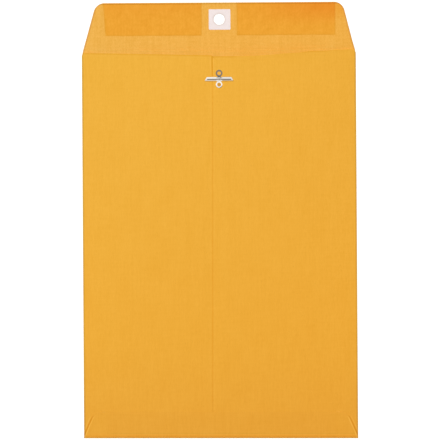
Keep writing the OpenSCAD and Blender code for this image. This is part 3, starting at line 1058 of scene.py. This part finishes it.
def add_bottom_flap(sheet, paper):
    """Bottom fold, and the flap that it turns up over the back."""
    columns = front_columns(paper)
    inner = 60 * MM
    grid = bottom_fold_rows(paper, columns, inner)
    slant = paper.bottom.slant
    corner = corner_rows(paper.bottom_end_x, paper.bottom_end_y, slant, paper.bottom.corner_r, 10)
    heights = stations(paper.bottom_crease_y, (paper.bottom_crease_y + 2 * MM, 0.4 * MM),
                       (corner[0], 1.2 * MM)) + corner[1:]
    for y in heights:
        half_w = paper.bottom_half_w(y)
        line = []
        for column in columns:
            x = narrowed(column, half_w, inner, paper.crease_x)
            to_end = (half_w - abs(x)) * math.cos(slant) / MM
            to_edge = (paper.bottom_end_y - y) / MM
            lift = paper.bottom.lift * ease(1 - to_end / 3)
            lift *= ease((y - paper.bottom_crease_y) / (5 * MM))
            line.append(Spot(x, paper.folded_y(x, y), paper.stack - paper.t / 2 + lift,
                             rim_share(paper, x, y), max(min(to_end, to_edge), 0) + 0.05,
                             bottom_flap_light_strength(paper, x, y), (y - paper.bottom_y) / MM))
        grid.append(line)
    sheet.grid(grid)


def flap_rim(paper, x, y):
    """Distance from the seal flap's slanted ends, in widths of their painted shade line."""
    half_w = paper.flap_half_w(y) if y > paper.score_y else paper.shoulder_half_w(y)
    side = (half_w - abs(x - paper.lean(y))) * math.cos(paper.flap.slant)
    return max(side / (1.5 * MM), 0)


def add_seal_flap(sheet, paper):
    """Seal flap, with a block of its grid left out and closed round the punched hole."""
    slant = paper.flap.slant
    end_x = paper.score_x - (paper.edge_y - paper.score_y) * math.tan(slant)
    corner = corner_rows(end_x, paper.edge_y, slant, paper.flap.corner_r, 12)
    block = 6.5 * MM
    low_y, high_y = HOLE.y - block, HOLE.y + block
    groove = paper.flap.score_w / 2
    heights = stations(paper.shoulder_y, (paper.score_y - groove, 0.6 * MM),
                       (paper.score_y + groove, groove / 3), (low_y, 1.4 * MM),
                       (high_y, block / 8), (corner[0], 0.5 * MM)) + corner[1:]
    front_top = front_columns(paper)
    outer = [x for x in front_top if x > 12 * MM]
    left, right = HOLE.x - block, HOLE.x + block
    columns = (mirrored(outer)[:-1]
               + stations(-outer[0], (left, 2.5 * MM), (right, block / 8), (outer[0], 2.5 * MM))
               + outer[1:])
    inner = 70 * MM

    def spot(column, y):
        half_w = paper.flap_half_w(y) if y > paper.score_y else paper.shoulder_half_w(y)
        x = narrowed(column, half_w, inner, paper.crease_x) + paper.lean(y)
        above = (y - paper.throat_y(x)) / MM
        return Spot(x, paper.folded_y(x, y), paper.flap_z(y), flap_rim(paper, x, y),
                    -min(above, FAR), mouth_shade_share(paper, x))

    def in_block(r, c):
        y = (heights[r] + heights[r + 1]) / 2
        x = (columns[c] + columns[c + 1]) / 2
        return left < x < right and low_y < y < high_y

    # The first row takes the front's own columns, so that the two sheets join
    join_y = heights[1]
    sheet.grid([[spot(x, y) for x in front_top] for y in (paper.shoulder_y, join_y)], flip=True)
    made = sheet.grid([[spot(x, y) for x in columns] for y in heights[1:]], flip=True,
                      skip=lambda r, c: in_block(r + 1, c))
    close_round_hole(sheet, paper, made, columns, heights[1:], (left, right, low_y, high_y))


def close_round_hole(sheet, paper, made, columns, heights, box):
    """Rings of faces from the border of the open block to the punched hole."""
    left, right, low_y, high_y = box
    near = 0.01 * MM
    across = [c for c, x in enumerate(columns) if left - near < x < right + near]
    up = [r for r, y in enumerate(heights) if low_y - near < y < high_y + near]
    border = border_of([row[across[0]:across[-1] + 1] for row in made[up[0]:up[-1] + 1]])
    radius = paper.flap.hole_d / 2
    rings = [border]
    steps = 4
    for k in range(1, steps + 1):
        ring = []
        for vertex in border:
            out = vertex.co.xy - HOLE.xy
            rim = out.normalized() * radius
            x, y = HOLE.xy + out.lerp(rim, k / steps)
            ring.append(sheet.vertex(Spot(x, y, paper.flap_z(y), FAR, -FAR, 0)))
        rings.append(ring)
    closed = [ring + [ring[0]] for ring in rings]
    sheet.faces(closed)


class ENVELOPE_OT_spread_gum(bpy.types.Operator):
    """Spreads the two strips of gum on the seal flap"""
    bl_idname = "clasp_envelope.spread_gum"
    bl_label = "Spread the gum"

    def execute(self, context):
        settings = settings_of(context)
        paper = FoldedPaper(settings)
        finish = gum_film(settings.finish)
        for node in ("seal_gum_left", "seal_gum_right"):
            piece = gum_strip(node, paper, settings.gum)
            paint(piece, finish)
            settle(piece, node)
        return {"FINISHED"}


def stray(place, start):
    """A small wander between -1 and 1 along a border: a long, a short and a fine wave."""
    return (math.sin(place / (3.7 * MM) + start) + 0.6 * math.sin(place / (1.3 * MM) + 2.2 * start)
            + 0.4 * math.sin(place / (0.6 * MM) + 5 * start)) / 2


def gum_strip(node, paper, sizes):
    """One film of gum: level on top, feathered at its border, closed below."""
    low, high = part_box(node)
    wander = sizes.wander
    thinnest = 0.15
    columns = stations(0, (0.04, 0.008), (0.96, 0.015), (1, 0.008))
    rows = stations(0, (0.06, 0.015), (0.92, 0.05), (1, 0.015))
    top, under = [], []
    for v in rows:
        top_line, under_line = [], []
        for u in columns:
            x = low.x + (high.x - low.x) * u
            y = low.y + (high.y - low.y) * v
            x += wander * stray(y, 1.0 + u) * (1 - 2 * u) ** 8
            if node == "seal_gum_left":
                x += sizes.left_cut * (1 - u) * (1 - v)
            y += wander * stray(x, 3.0) * (1 - v) ** 6
            border = min((high.x - low.x) * min(u, 1 - u), y - low.y) / MM
            grown = ease(max(border, 0) * MM / sizes.feather)
            film = sizes.film_t * (thinnest + (1 - thinnest) * grown)
            seat = paper.flap_top_z(y)
            rim = flap_rim(paper, x, y)
            top_line.append(Spot(x, y, seat + film, rim, border, 0))
            under_line.append(Spot(x, y, seat, rim, border, 0))
        top.append(top_line)
        under.append(under_line)
    sheet = SheetMesh()
    upper = sheet.grid(top)
    lower = sheet.grid(under, flip=True)
    close_sides(sheet, upper, lower)
    piece = sheet.finish(node + "_film")
    shade(piece, sharp_from=40)
    return piece


def close_sides(sheet, upper, lower):
    """Joins the borders of an upper and a lower grid of the same layout."""
    above, below = border_of(upper), border_of(lower)
    sheet.faces([below + [below[0]], above + [above[0]]])


class ENVELOPE_OT_stick_patch(bpy.types.Operator):
    """Sticks the white patch round the flap's hole"""
    bl_idname = "clasp_envelope.stick_patch"
    bl_label = "Stick the patch"

    def execute(self, context):
        settings = settings_of(context)
        paper = FoldedPaper(settings)
        piece = patch_ring(paper, settings.patch)
        paint(piece, patch_stock(settings.finish))
        settle(piece, "hole_patch")
        return {"FINISHED"}


def patch_ring(paper, sizes):
    """Square patch with the hole through it, its cut edges rounded."""
    half_w = (PATCH_HIGH.x - PATCH_LOW.x) / 2
    half_h = (PATCH_HIGH.y - PATCH_LOW.y) / 2
    radius = paper.flap.hole_d / 2
    count = 96
    # Shares of the way from the hole to the cut edge, dense where the edges are rounded
    steps = [0, 0.006, 0.02, 0.08, 0.2, 0.35, 0.5, 0.65, 0.8, 0.92, 0.98, 0.994, 1]
    sheet = SheetMesh()
    top, under = [], []
    for step in steps:
        top_line, under_line = [], []
        for i in range(count):
            turn = 2 * math.pi * (i + 0.5) / count
            way = Vector((math.cos(turn), math.sin(turn)))
            reach_x = half_w + math.copysign(sizes.shift, way.x)
            reach_y = half_h - math.copysign(sizes.drop, way.y)
            out = min(reach_x / max(abs(way.x), 1e-6), reach_y / max(abs(way.y), 1e-6))
            past_hole = (out - radius) * step
            place = HOLE.xy + way * (radius + past_hole)
            from_cut = min(step, 1 - step) * (out - radius)
            round_off = sizes.edge_r * (1 - min(from_cut / sizes.edge_r, 1)) ** 2
            dish = sizes.press * ease(1 - past_hole / (1.2 * MM))
            seat = paper.flap_top_z(place.y)
            from_hole = past_hole / MM
            top_line.append(Spot(place.x, place.y, seat + sizes.stock_t - round_off - dish,
                                 from_hole, FAR, 0))
            under_line.append(Spot(place.x, place.y, seat, from_hole, FAR, 0))
        top.append(top_line)
        under.append(under_line)
    above = sheet.grid(top)
    below = sheet.grid(under, flip=True)
    for grid, flip in ((above, False), (below, True)):
        sheet.faces([[row[-1], row[0]] for row in grid], flip)
    sheet.faces([above[0] + [above[0][0]], below[0] + [below[0][0]]], flip=True)
    sheet.faces([above[-1] + [above[-1][0]], below[-1] + [below[-1][0]]])
    piece = sheet.finish("hole_patch_stock")
    shade(piece, sharp_from=50)
    return piece


class ENVELOPE_OT_stamp_clasp(bpy.types.Operator):
    """Stamps and folds the tinned clasp"""
    bl_idname = "clasp_envelope.stamp_clasp"
    bl_label = "Stamp the clasp"

    def execute(self, context):
        settings = settings_of(context)
        sizes = settings.clasp
        seat = CLASP_LOW.z + sizes.metal_t + 2 * settings.blank.paper_t
        middle = Vector((CLASP.x, CLASP.y, seat))
        mesh = bmesh.new()
        tones = {name: mesh.verts.layers.float.new(name) for name in ("shade_and_dark_reflection", "gleam", "glow")}
        for side in (-1, 1):
            add_eyelet(mesh, tones, sizes, middle, side, settings.blank.paper_t)
            add_wing(mesh, tones, sizes, middle, side)
        add_base(mesh, tones, sizes, middle)
        piece = mesh_object("clasp_stamping", mesh)
        shade(piece, sharp_from=50)
        paint(piece, tinned_steel(settings.finish))
        settle(piece, "clasp")
        return {"FINISHED"}


def loft(mesh, rings, closed_ends=False):
    """Faces between rings of vertices. Closed ends join the last ring to the first."""
    rows = rings + [rings[0]] if closed_ends else rings
    for a, b in zip(rows, rows[1:]):
        for i in range(len(a)):
            k = (i + 1) % len(a)
            mesh.faces.new((a[i], a[k], b[k], b[i]))


def eyelet_profile(sizes, bore, paper_t):
    """Section of an eyelet as (radius, height), from the bore's foot round and back to it."""
    roll = sizes.eyelet_d / 2 - bore
    clinch = sizes.clinch_d / 2
    barrel = bore + sizes.metal_t
    under = -2 * paper_t
    foot = under - sizes.metal_t
    soft = 0.06 * MM
    steps = 18
    profile = [(bore, foot + soft), (bore + soft, foot), (clinch - soft, foot),
               (clinch, foot + soft), (clinch, under), (barrel, under), (barrel, 0),
               (bore + roll, 0)]
    for i in range(steps + 1):
        turn = math.pi * i / steps
        profile.append((bore + roll / 2 * (1 + math.cos(turn)),
                        sizes.metal_t + (sizes.rim_h - sizes.metal_t) * math.sin(turn)))
    return profile


def tint(made, tones, shade_and_dark_reflection, gleam, glow=0.0):
    """Sets the painted shade, highlight and reflection of the kraft at a vertex of the metal."""
    for name, value in (("shade_and_dark_reflection", shade_and_dark_reflection), ("gleam", gleam), ("glow", glow)):
        made[tones[name]] = value


def add_eyelet(mesh, tones, sizes, middle, side, paper_t):
    """One eyelet: a rolled rim, a barrel through the paper and the clinched ring."""
    bore = (sizes.upper_bore_d if side > 0 else sizes.lower_bore_d) / 2
    profile = eyelet_profile(sizes, bore, paper_t)
    centre = middle + Vector((-sizes.eyelet_shift, side * sizes.eyelet_pitch / 2, 0))
    outer = sizes.eyelet_d / 2
    count = 72
    rings = []
    for i in range(count):
        turn = 2 * math.pi * i / count
        ring = []
        for radius, height in profile:
            made = mesh.verts.new(centre + Vector((radius * math.cos(turn),
                                                   radius * math.sin(turn), height)))
            out = (radius - bore) / (outer - bore)
            if side > 0:
                # Painted dark reflection over the upper eyelet's rim, with a painted reflection of
                # the kraft
                tint(made, tones, 0.7 * ease(out / 0.25), gleam=0.0, glow=0.4)
            else:
                # Painted highlight on the lower eyelet, with painted shade and shadow at its foot
                # on its lower side
                low = ease(-0.1 - 2 * math.sin(turn))
                right_low = ease(math.cos(turn) - 1.2 * math.sin(turn) - 0.9)
                dimmer = (0.15 + 0.5 * low + 0.3 * right_low) * ease(out * 4 - 3 + right_low)
                tint(made, tones, dimmer, 1 - 0.45 * low)
            ring.append(made)
        rings.append(ring)
    loft(mesh, rings, closed_ends=True)


def add_base(mesh, tones, sizes, middle):
    """Strip that joins the eyelets under the wings, cut clear of their bores."""
    half_l = sizes.eyelet_pitch / 2 - sizes.lower_bore_d / 2 - sizes.metal_t / 2
    soft = sizes.edge_r
    rings = []
    for y in stations(-half_l, (half_l, 0.15 * MM)):
        below = ease((-y - sizes.wing_w / 2 + 0.3 * MM) / (0.4 * MM))
        half_w = (sizes.base_w + (sizes.neck_w - sizes.base_w) * below) / 2
        right_side = [(half_w - soft, 0), (half_w, soft), (half_w, sizes.metal_t - soft),
                      (half_w - soft, sizes.metal_t)]
        outline = right_side + [(-x, z) for x, z in reversed(right_side)]
        ring = [mesh.verts.new(middle + Vector((x - sizes.eyelet_shift, y, z)))
                for x, z in reversed(outline)]
        # Painted dark reflection under the wings' bead, painted shadow at the end by the upper
        # eyelet, and a painted highlight on the neck
        dark = max(dark_reflection_line(sizes, y + sizes.wing_drop),
                   0.95 * ease((y - sizes.wing_w / 2 + 0.3 * MM) / (0.3 * MM)))
        for made in ring:
            tint(made, tones, dark, below)
        rings.append(ring)
    loft(mesh, rings)
    mesh.faces.new(reversed(rings[0]))
    mesh.faces.new(rings[-1])


def wing_path(sizes, span):
    """Places along a wing, as distance out, height, and the direction of its thickness."""
    level = sizes.metal_t * 1.5 + sizes.wing_lift
    start = sizes.root_gap / 2 + sizes.metal_t / 2
    bend = 0.18 * MM
    path = []
    for z in stations(sizes.metal_t / 2, (level - bend, 0.1 * MM)):
        path.append((start, z, (-1.0, 0.0)))
    steps = 6
    for i in range(1, steps + 1):
        turn = math.pi / 2 * i / steps
        path.append((start + bend * (1 - math.cos(turn)), level - bend + bend * math.sin(turn),
                     (-math.cos(turn), math.sin(turn))))
    for x in stations(start + bend, (span - 2 * MM, 0.35 * MM), (span, 0.1 * MM))[1:]:
        path.append((x, level, (0.0, 1.0)))
    return path


def wing_line(sizes):
    """Places across a wing in even steps, up to its rounded edges."""
    level = sizes.wing_w / 2 - sizes.edge_r
    return stations(-level, (level, 0.09 * MM))


def dark_reflection_line(sizes, y):
    """How dark the metal is painted across a wing: a dark reflection along the lower side of its
    bead.
    """
    return 0.87 * ease((0.52 * MM - abs(y + sizes.bead_drop + 0.12 * MM)) / (0.3 * MM))


# A wing's painted highlight off its bead and on it, kraft reflection on its flank, shadow at its
# root
WingLook = namedtuple("WingLook", "high_gleam low_gleam warmth root_shade")
WING_LOOKS = {-1: WingLook(0.9, 0.4, 0.5, 0.16), 1: WingLook(0.4, 0.15, 0.75, 0.42)}


def wing_tones(sizes, look, span, x, y):
    """How much painted shade, highlight and reflection of the kraft a wing's upper side has at a
    place.
    """
    from_edge = sizes.wing_w / 2 - abs(y)
    # Painted dark reflection along the bead and along the wing's edges
    past_bead = ease((span - sizes.bead_short + 0.3 * MM - x) / (0.6 * MM))
    edge_dark = 0.68 if y > 0 else 0.36
    painted = max(dark_reflection_line(sizes, y) * past_bead,
                 edge_dark * ease((0.2 * MM - from_edge) / (0.12 * MM)))
    # Painted shadow of the upper eyelet at the wing's root
    root = ease((2.4 * MM - x) / (0.8 * MM))
    root_dark = 0.28 * root * ease((y + 0.1 * MM) / (0.3 * MM))
    shaded = ease((2.6 * MM - x) / (1.8 * MM)) * ease((y - 0.15 * MM) / (0.5 * MM))
    painted = max(painted, root_dark + look.root_shade * shaded)
    # Painted reflection of the kraft on the wing's lower flank
    reflected_kraft = look.warmth * ease((-0.62 * MM - y) / (0.25 * MM)) * (1 - root)
    # Painted highlight, stronger off the bead and at the root
    off_bead = ease((abs(y) - 0.35 * MM) / (0.35 * MM))
    gleam = look.low_gleam + (look.high_gleam - look.low_gleam) * off_bead
    return painted, gleam + (1 - gleam) * root, reflected_kraft


def wing_run(sizes, span, x, y):
    """Distance out of a place on a wing, drawn in where the cut slants its tip."""
    return x - (y + sizes.wing_w / 2) * math.tan(sizes.wing_cut) * (x / span) ** 6


def wing_vertex(mesh, middle, side, place, out, thick):
    """A vertex of a wing, moved off its middle along the direction of its thickness."""
    run, y, z = place
    return mesh.verts.new(middle + Vector((side * (run + thick * out[0]), y, z + thick * out[1])))


def add_wing(mesh, tones, sizes, middle, side):
    """One wing, bent up from the base at its root, with a bead that stops short of its tip."""
    half = sizes.wing_w / 2
    span = sizes.left_reach if side < 0 else sizes.right_reach
    look = WING_LOOKS[side]
    tip_round, tip_soft = 0.35 * MM, 0.5 * MM
    rings = []
    for x, z, out in wing_path(sizes, span):
        grown = ease((x - sizes.root_gap / 2 - sizes.metal_t) / (0.8 * MM))
        width = (sizes.base_w + (sizes.wing_w - sizes.base_w) * grown) / sizes.wing_w
        stop = ease((span - sizes.bead_short - x) / (1.2 * MM)) * grown
        rounded = tip_round * (x / span) ** 8
        upper, lower = [], []
        for y in wing_line(sizes):
            from_bead = abs(y + sizes.bead_drop) / (sizes.bead_w / 2)
            bead = sizes.bead_h * (1 + math.cos(math.pi * min(from_bead, 1))) / 2 * stop
            near_corner = max(abs(y) - half + tip_soft, 0) / tip_soft
            run = wing_run(sizes, span, x, y) - rounded * near_corner ** 2
            painted, gleam, reflected_kraft = wing_tones(sizes, look, span, x, y)
            place = (run, y * width - sizes.wing_drop, z + bead)
            # The upper side takes its painted tones, and the lower side a painted shade
            for line, thick, dimmer in ((upper, sizes.metal_t / 2, painted),
                                      (lower, -sizes.metal_t / 2, 0.4)):
                made = wing_vertex(mesh, middle, side, place, out, thick)
                tint(made, tones, dimmer, gleam, reflected_kraft)
                line.append(made)
        edges = []
        # The cut edges get painted shade and highlight, and the lower one a painted reflection of
        # the kraft
        for y, reflected_kraft in ((half, 0.0), (-half, look.warmth)):
            place = (wing_run(sizes, span, x, y) - rounded, y * width - sizes.wing_drop, z)
            first = math.copysign(sizes.metal_t / 4, y)
            for thick in (first, -first):
                made = wing_vertex(mesh, middle, side, place, out, thick)
                tint(made, tones, 0.5, look.high_gleam, reflected_kraft)
                edges.append(made)
        ring = upper + edges[:2] + list(reversed(lower)) + edges[2:]
        rings.append(ring if side < 0 else list(reversed(ring)))
    loft(mesh, rings)
    mesh.faces.new(list(reversed(rings[0])))
    mesh.faces.new(rings[-1])


class ENVELOPE_OT_set_stage(bpy.types.Operator):
    """Sets the floor, the lamps, the room and the camera"""
    bl_idname = "clasp_envelope.set_stage"
    bl_label = "Set the stage"

    def execute(self, context):
        stage = settings_of(context).stage
        lay_floor(stage)
        softbox("key_softbox", place=(-0.4, 1.8, 7.7), width=3, power=stage.key)
        light_room(stage)
        set_camera(stage)
        context.scene.view_settings.view_transform = "Standard"
        return {"FINISHED"}


def lay_floor(stage):
    """A pale floor that shows white, and keeps the envelope's shadow."""
    mesh = bmesh.new()
    bmesh.ops.create_grid(mesh, x_segments=8, y_segments=8, size=2.5)
    floor = mesh_object("floor", mesh)
    # A hair below the table's height, so that the floor and the paper never share a plane
    floor.location.z = -0.02 * MM
    finish = Finish("pale_floor")
    grain = finish.noise(4 * MM, 4 * MM, 2)
    white_level = 0.35
    glow = finish.math("MULTIPLY", seen_directly(finish.tree), white_level)
    finish.set(Base_Color=finish.vary(stage.floor_tone, grain, 0.004), Roughness=0.9,
               Specular_IOR_Level=0.1, Emission_Color=(1.0, 1.0, 1.0), Emission_Strength=glow)
    paint(floor, finish.material)


def seen_directly(tree):
    """1 for what the camera sees, also mirrored or through glass, and 0 for what lights things."""
    path = tree.nodes.new("ShaderNodeLightPath").outputs
    seen = path["Is Camera Ray"]
    for ray in ("Is Glossy Ray", "Is Transmission Ray"):
        either = tree.nodes.new("ShaderNodeMath")
        either.operation = "MAXIMUM"
        tree.links.new(seen, either.inputs[0])
        tree.links.new(path[ray], either.inputs[1])
        seen = either.outputs[0]
    return seen


def softbox(name, place, width, power):
    """A square softbox that faces the envelope's middle."""
    data = bpy.data.lights.new(name, "AREA")
    data.shape = "SQUARE"
    data.size = width
    data.energy = power
    lamp = bpy.data.objects.new(name, data)
    lamp.location = place
    lamp.rotation_euler = (-Vector(place)).to_track_quat("-Z", "Y").to_euler()
    lamp.visible_camera = False
    lamp.visible_glossy = False
    bpy.context.scene.collection.objects.link(lamp)


def light_room(stage):
    """A dim even room, which shows as plain white to the camera and in the metal."""
    world = bpy.data.worlds.new("room")
    world.use_nodes = True
    tree = world.node_tree
    background = tree.nodes["Background"]
    background.inputs["Color"].default_value = (1, 1, 1, 1)
    level = tree.nodes.new("ShaderNodeMapRange")
    tree.links.new(seen_directly(tree), level.inputs["Value"])
    level.inputs["To Min"].default_value = stage.room
    level.inputs["To Max"].default_value = 1
    tree.links.new(level.outputs["Result"], background.inputs["Strength"])
    bpy.context.scene.world = world


def set_camera(stage):
    """A long lens that looks straight down on the envelope."""
    data = bpy.data.cameras.new("camera")
    data.lens = stage.lens
    distance = stage.frame_w * data.lens / data.sensor_width
    data.clip_end = 20
    camera = bpy.data.objects.new("camera", data)
    camera.location = (stage.aim_x, stage.aim_y, distance)
    camera.rotation_euler = (0, 0, stage.turn)
    bpy.context.scene.collection.objects.link(camera)
    bpy.context.scene.camera = camera


class ENVELOPE_PT_sidebar(bpy.types.Panel):
    """Lists the envelope's operators and its sizes"""
    bl_idname = "ENVELOPE_PT_sidebar"
    bl_label = "Clasp envelope"
    bl_space_type = "VIEW_3D"
    bl_region_type = "UI"
    bl_category = "Envelope"

    def draw(self, context):
        layout = self.layout
        for operator in OPERATORS:
            layout.operator(operator.bl_idname)
        settings = settings_of(context)
        for group_name in GROUP_NAMES:
            group = getattr(settings, group_name)
            box = layout.box()
            box.label(text=group.bl_rna.name)
            for key in group.bl_rna.properties.keys():
                if key not in ("rna_type", "name"):
                    box.prop(group, key)


OPERATORS = (ENVELOPE_OT_fold_blank, ENVELOPE_OT_spread_gum, ENVELOPE_OT_stick_patch,
             ENVELOPE_OT_stamp_clasp, ENVELOPE_OT_set_stage)
GROUP_NAMES = ("blank", "mouth", "flap", "bottom", "gum", "patch", "clasp", "finish", "stage")
CLASSES = (BlankSizes, MouthSizes, SealFlapSizes, BottomFlapSizes, GumSizes, PatchSizes,
           ClaspSizes, Finishes, StageSettings, EnvelopeSettings,
           *OPERATORS, ENVELOPE_PT_sidebar)


def register():
    """Makes the classes and the scene's settings known to Blender."""
    for made in CLASSES:
        bpy.utils.register_class(made)
    bpy.types.Scene.clasp_envelope = PointerProperty(
        type=EnvelopeSettings, name="Clasp envelope", description="Sizes and finishes")


def unregister():
    """Takes the settings and the classes away again."""
    del bpy.types.Scene.clasp_envelope
    for made in reversed(CLASSES):
        bpy.utils.unregister_class(made)


def main():
    """Makes every piece and the stage."""
    register()
    bpy.ops.clasp_envelope.fold_blank()
    bpy.ops.clasp_envelope.spread_gum()
    bpy.ops.clasp_envelope.stick_patch()
    bpy.ops.clasp_envelope.stamp_clasp()
    bpy.ops.clasp_envelope.set_stage()


if __name__ == "__main__":
    main()
